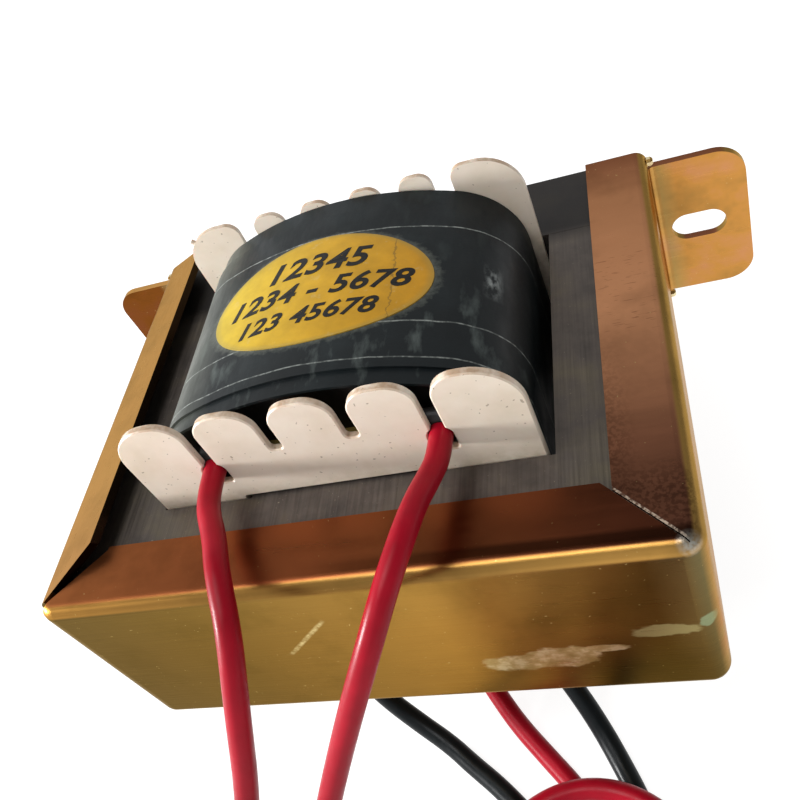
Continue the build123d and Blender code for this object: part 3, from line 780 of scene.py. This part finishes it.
# Painted sheen: the left shoulder, lighter where the window's light grazes it.
shoulder = along((spot, "X"), -20 * mm, -11 * mm, [(0.0, 0.6), (0.5, 0.35), (1.0, 0.0)])
body = lay(body, "#7A7E74", shoulder, add("MapRange", [cloud, 0.25, 0.6, 0.5, 1.0]))
streak = add("MapRange", [cloudy(0.9, 5.0, (1.0, 2.0, 1.0)), 0.42, 0.62, 0.0, 0.6])
body = lay(body, "#A8AEAC", band((spot, "X"), 17.6, 0.1, 0.8), band((spot, "Y"), 1.7, 0.6, 2.2), streak)
print("the label's oval:", [2 * half for half in label_halves[:2]], "mm")

# %% Coated cloth tape: round the label, and the turns' ends
uneven = overlap(cloudy(0.6, 3.0), 0.16)
from_label = add("Math", [oval(label_middle, label_halves), uneven], operation="ADD")
body = lay(body, "#686C64", add("MapRange", [from_label, 1.06, 1.16, 0.6, 0.0]))
broken = add("MapRange", [cloudy(0.7, 3.0), 0.42, 0.58, 0.3, 1.0])
wander = overlap(cloudy(6.0, 2.0), 0.6 * mm)
wandering = add("Math", [(spot, "Y"), wander], operation="ADD")
turn_ends = ((9.5, 0.5), (-5.3, 0.45), (-10.1, 0.4))
for line_y, strength in turn_ends:
    body = lay(body, "#B8BEB8", band(wandering, line_y, 0.04, 0.08), broken, strength)
coated = add("BsdfPrincipled", {
    "Base Color": body,
    "Roughness": add("MapRange", [chalk, 0.35, 0.7, 0.34, 0.62]),
    "Specular IOR Level": 0.22,
    "Normal": add("Bump", {"Height": cloudy(0.3, 2.0), "Strength": 0.12, "Distance": 0.05 * mm}),
})
add("OutputMaterial", {"Surface": coated})
paint("inner_wrap", tape)
paint("outer_wrap", tape)
print("ends of turns drawn:", len(turn_ends))

# %% [markdown]
# The label is yellow paper under a clear film, which gives it a soft gloss and
# lets its creases show. A fine crack runs across it, a little grey is rubbed into
# it, and its edge is dirty.

# %% Printed label
label_paper, tree, place = begin("printed_label")
spot = add("SeparateXYZ", [place])
# The yellow is partly painted sheen: greener and lighter on the left, where the window's light falls,
# and more orange on the right.
yellow = along((spot, "X"), -13 * mm, 13 * mm, [(0.0, "#C4A81E"), (0.5, "#C89A1A"), (1.0, "#C48A10")])
creased = cloudy(3.0, 4.0)
faint = along(creased, 0.3, 0.7, [(0.0, "#E0E0D8"), (1.0, "#FFFFFF")])
paper = add("Mix", [1.0, yellow, faint], **tinted)
paper = lay(paper, "#8A7A3C", add("MapRange", [oval(label_middle, label_halves), 0.93, 1.0, 0.0, 0.55]))
wander = overlap(cloudy(1.2, 4.0), 1.6 * mm)
crack_line = add("Math", [(spot, "X"), wander], operation="SUBTRACT")
paper = lay(paper, "#6A5420", band(crack_line, 7.3, 0.05, 0.08), 0.6)
paper = lay(paper, "#B8A878", add("MapRange", [cloudy(1.3, 5.0), 0.62, 0.72, 0.0, 0.35]))
laminated = add("BsdfPrincipled", {
    "Base Color": paper,
    "Roughness": 0.38,
    "Specular IOR Level": 0.3,
    "Normal": add("Bump", {"Height": creased, "Strength": 0.15, "Distance": 0.1 * mm}),
})
add("OutputMaterial", {"Surface": laminated})
paint("label", label_paper)
print("finish:", label_paper.name)

# %% [markdown]
# The print on the label is plain numbers, in an ink that has faded a little. Each
# line is set flat in a slanted face, made bold by an offset of its outline, and
# turned into a mesh. Then it is laid on the crown, whose height over its axis is a
# circle's: z = centre + sqrt(radius squared - x squared).

# %% Ink
ink, tree, place = begin("black_ink")
faded = along(cloudy(0.6, 4.0), 0.35, 0.65, [(0.0, "#1C1A16"), (1.0, "#0C0B0A")])
printed = add("BsdfPrincipled", {"Base Color": faded, "Roughness": 0.45, "Specular IOR Level": 0.25})
add("OutputMaterial", {"Surface": printed})
print("finish:", ink.name)

# %% Numbers on the label
crown_radius, crown_centre_z, crown_x = 40.14 * mm, 11.25 * mm, -0.34 * mm
label_lines = (
    ("12345", 4.2, -1.2, 4.6), ("1234 - 5678", 3.7, -0.9, 0.6), ("123 45678", 3.2, -1.5, -3.2),
)


def flat_line(words, size):
    """A line of slanted bold numbers of this size in mm, as a mesh in the plane z = 0."""
    data = bpy.data.curves.new("words", "FONT")
    data.body = words
    data.size = size * mm
    data.shear = 0.28
    data.offset = 0.026 * size * mm
    data.extrude = 0.012 * mm
    data.space_character = 1.06
    data.align_x = "CENTER"
    data.align_y = "CENTER"
    flat = bpy.data.objects.new("words", data)
    bpy.context.scene.collection.objects.link(flat)
    bpy.context.view_layer.update()
    graph = bpy.context.evaluated_depsgraph_get()
    mesh = bpy.data.meshes.new_from_object(flat.evaluated_get(graph))
    bpy.data.objects.remove(flat)
    return mesh


def on_crown(mesh, middle_x, middle_y):
    """Widen a flat mesh to 1.12, move it, and lift each point by the circle's height at its x."""
    points = np.zeros(3 * len(mesh.vertices))
    mesh.vertices.foreach_get("co", points)
    points = points.reshape(-1, 3)
    points[:, 0] = 1.12 * points[:, 0] + middle_x * mm
    points[:, 1] += middle_y * mm
    points[:, 2] += crown_centre_z + np.sqrt(crown_radius**2 - (points[:, 0] - crown_x) ** 2)
    mesh.vertices.foreach_set("co", points.ravel())


for line, (words, size, middle_x, middle_y) in enumerate(label_lines):
    mesh = flat_line(words, size)
    on_crown(mesh, middle_x, middle_y)
    mesh.materials.clear()
    mesh.materials.append(ink)
    piece = bpy.data.objects.new(f"label_numbers_{line + 1}", mesh)
    bpy.context.scene.collection.objects.link(piece)
    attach(piece, "root")
print("lines of numbers:", len(label_lines))

# %% [markdown]
# ## Lead finishes
#
# The skins are soft vinyl: two close shades that drift along the wire, and a soft
# gloss that handling has smudged. The strands are tinned copper, a bright metal
# that is dull in places.

# %% Lead finishes
skins = {}
for name, dark, light in (("red_vinyl", "#86081A", "#A00C22"), ("black_vinyl", "#0A0E10", "#141A1C")):
    skins[name], tree, place = begin(name)
    vinyl = add("BsdfPrincipled", {
        "Base Color": along(cloudy(6.0), 0.3, 0.7, [(0.0, dark), (1.0, light)]),
        "Roughness": add("MapRange", [cloudy(1.2, 5.0, (1.0, 4.0, 1.0)), 0.4, 0.7, 0.30, 0.48]),
        "Specular IOR Level": 0.14,
    })
    add("OutputMaterial", {"Surface": vinyl})
for name, piece in leads.items():
    piece.data.materials.append(skins["black_vinyl" if name in lead_slots else "red_vinyl"])

tinned, tree, place = begin("tinned_copper")
tin = along(cloudy(0.8, 4.0), 0.3, 0.7, [(0.0, "#A09A90"), (1.0, "#D6D4CE")])
add("OutputMaterial", {
    "Surface": add("BsdfPrincipled", {"Base Color": tin, "Metallic": 1.0, "Roughness": 0.3}),
})
for piece in lead_tips.values():
    piece.data.materials.append(tinned)
print("lead finishes:", [*skins, tinned.name])

# %% [markdown]
# ## Floor and light
#
# The object stands on plain white. The floor is a matt grey that glows a little, so
# it comes out white all over and still takes soft shadows.
#
# A room is bright at eye level, above all at the window on the left, and dim
# overhead, and that is what bare metal shows: the lips mirror the dim ceiling, and
# the bends catch the bright walls. So the room is a ramp over height and another
# over the way to the window. Two lamps add to it: the window low on the left,
# which throws the leads' shadows along the flange, and a soft one overhead, a
# little to the left and in front.

# %% Floor
floor_size = 3.0
floor_vertices = np.array([(-1, -1, 0), (1, -1, 0), (1, 1, 0), (-1, 1, 0)]) * floor_size / 2
floor = mesh_piece("floor", floor_vertices, np.array([[0, 1, 2, 3]]), smooth=False)
pale_floor, tree, place = begin("pale_floor")
matt = add("BsdfPrincipled", {
    "Base Color": "#8C8C8C", "Roughness": 0.9, "Emission Color": "#FFFFFF", "Emission Strength": 0.9,
})
add("OutputMaterial", {"Surface": matt})
floor.data.materials.append(pale_floor)
print("floor:", floor_size, "m square")

# %% Room
world = bpy.data.worlds.new("room")
bpy.context.scene.world = world
world.use_nodes = True
tree = world.node_tree
tree.nodes.clear()
way = add("SeparateXYZ", [(add("TexCoord"), "Generated")])
level = add("ValToRGB", [(way, "Z")], [
    (0.0, 0.9), (0.35, 0.9), (0.60, 0.86), (0.70, 0.56), (0.80, 0.28), (1.0, 0.15),
])
turned = along((way, "X"), -1.0, 1.0, [(0.0, 1.0), (0.5, 0.85), (0.75, 0.5), (1.0, 0.25)])
room = add("Background", {"Color": add("Mix", [1.0, level, turned], **tinted), "Strength": 1.15})
add("OutputWorld", {"Surface": room})
print("world:", world.name)

# %% Lights


def soft_light(name, place, aim, size, power):
    """A square area light at place that faces aim."""
    data = bpy.data.lights.new(name, "AREA")
    data.shape = "SQUARE"
    data.size = size
    data.energy = power
    lamp = bpy.data.objects.new(name, data)
    bpy.context.scene.collection.objects.link(lamp)
    lamp.location = place
    lamp.rotation_mode = "QUATERNION"
    lamp.rotation_quaternion = (Vector(aim) - Vector(place)).to_track_quat("-Z", "Y")


soft_light("window", (-0.55, -0.14, 0.13), (0.0, 0.0, 0.04), 0.10, 5.0)
soft_light("sky", (-0.15, -0.12, 0.60), (0.0, 0.0, 0.03), 0.30, 2.2)
bpy.context.scene.view_settings.view_transform = "Standard"
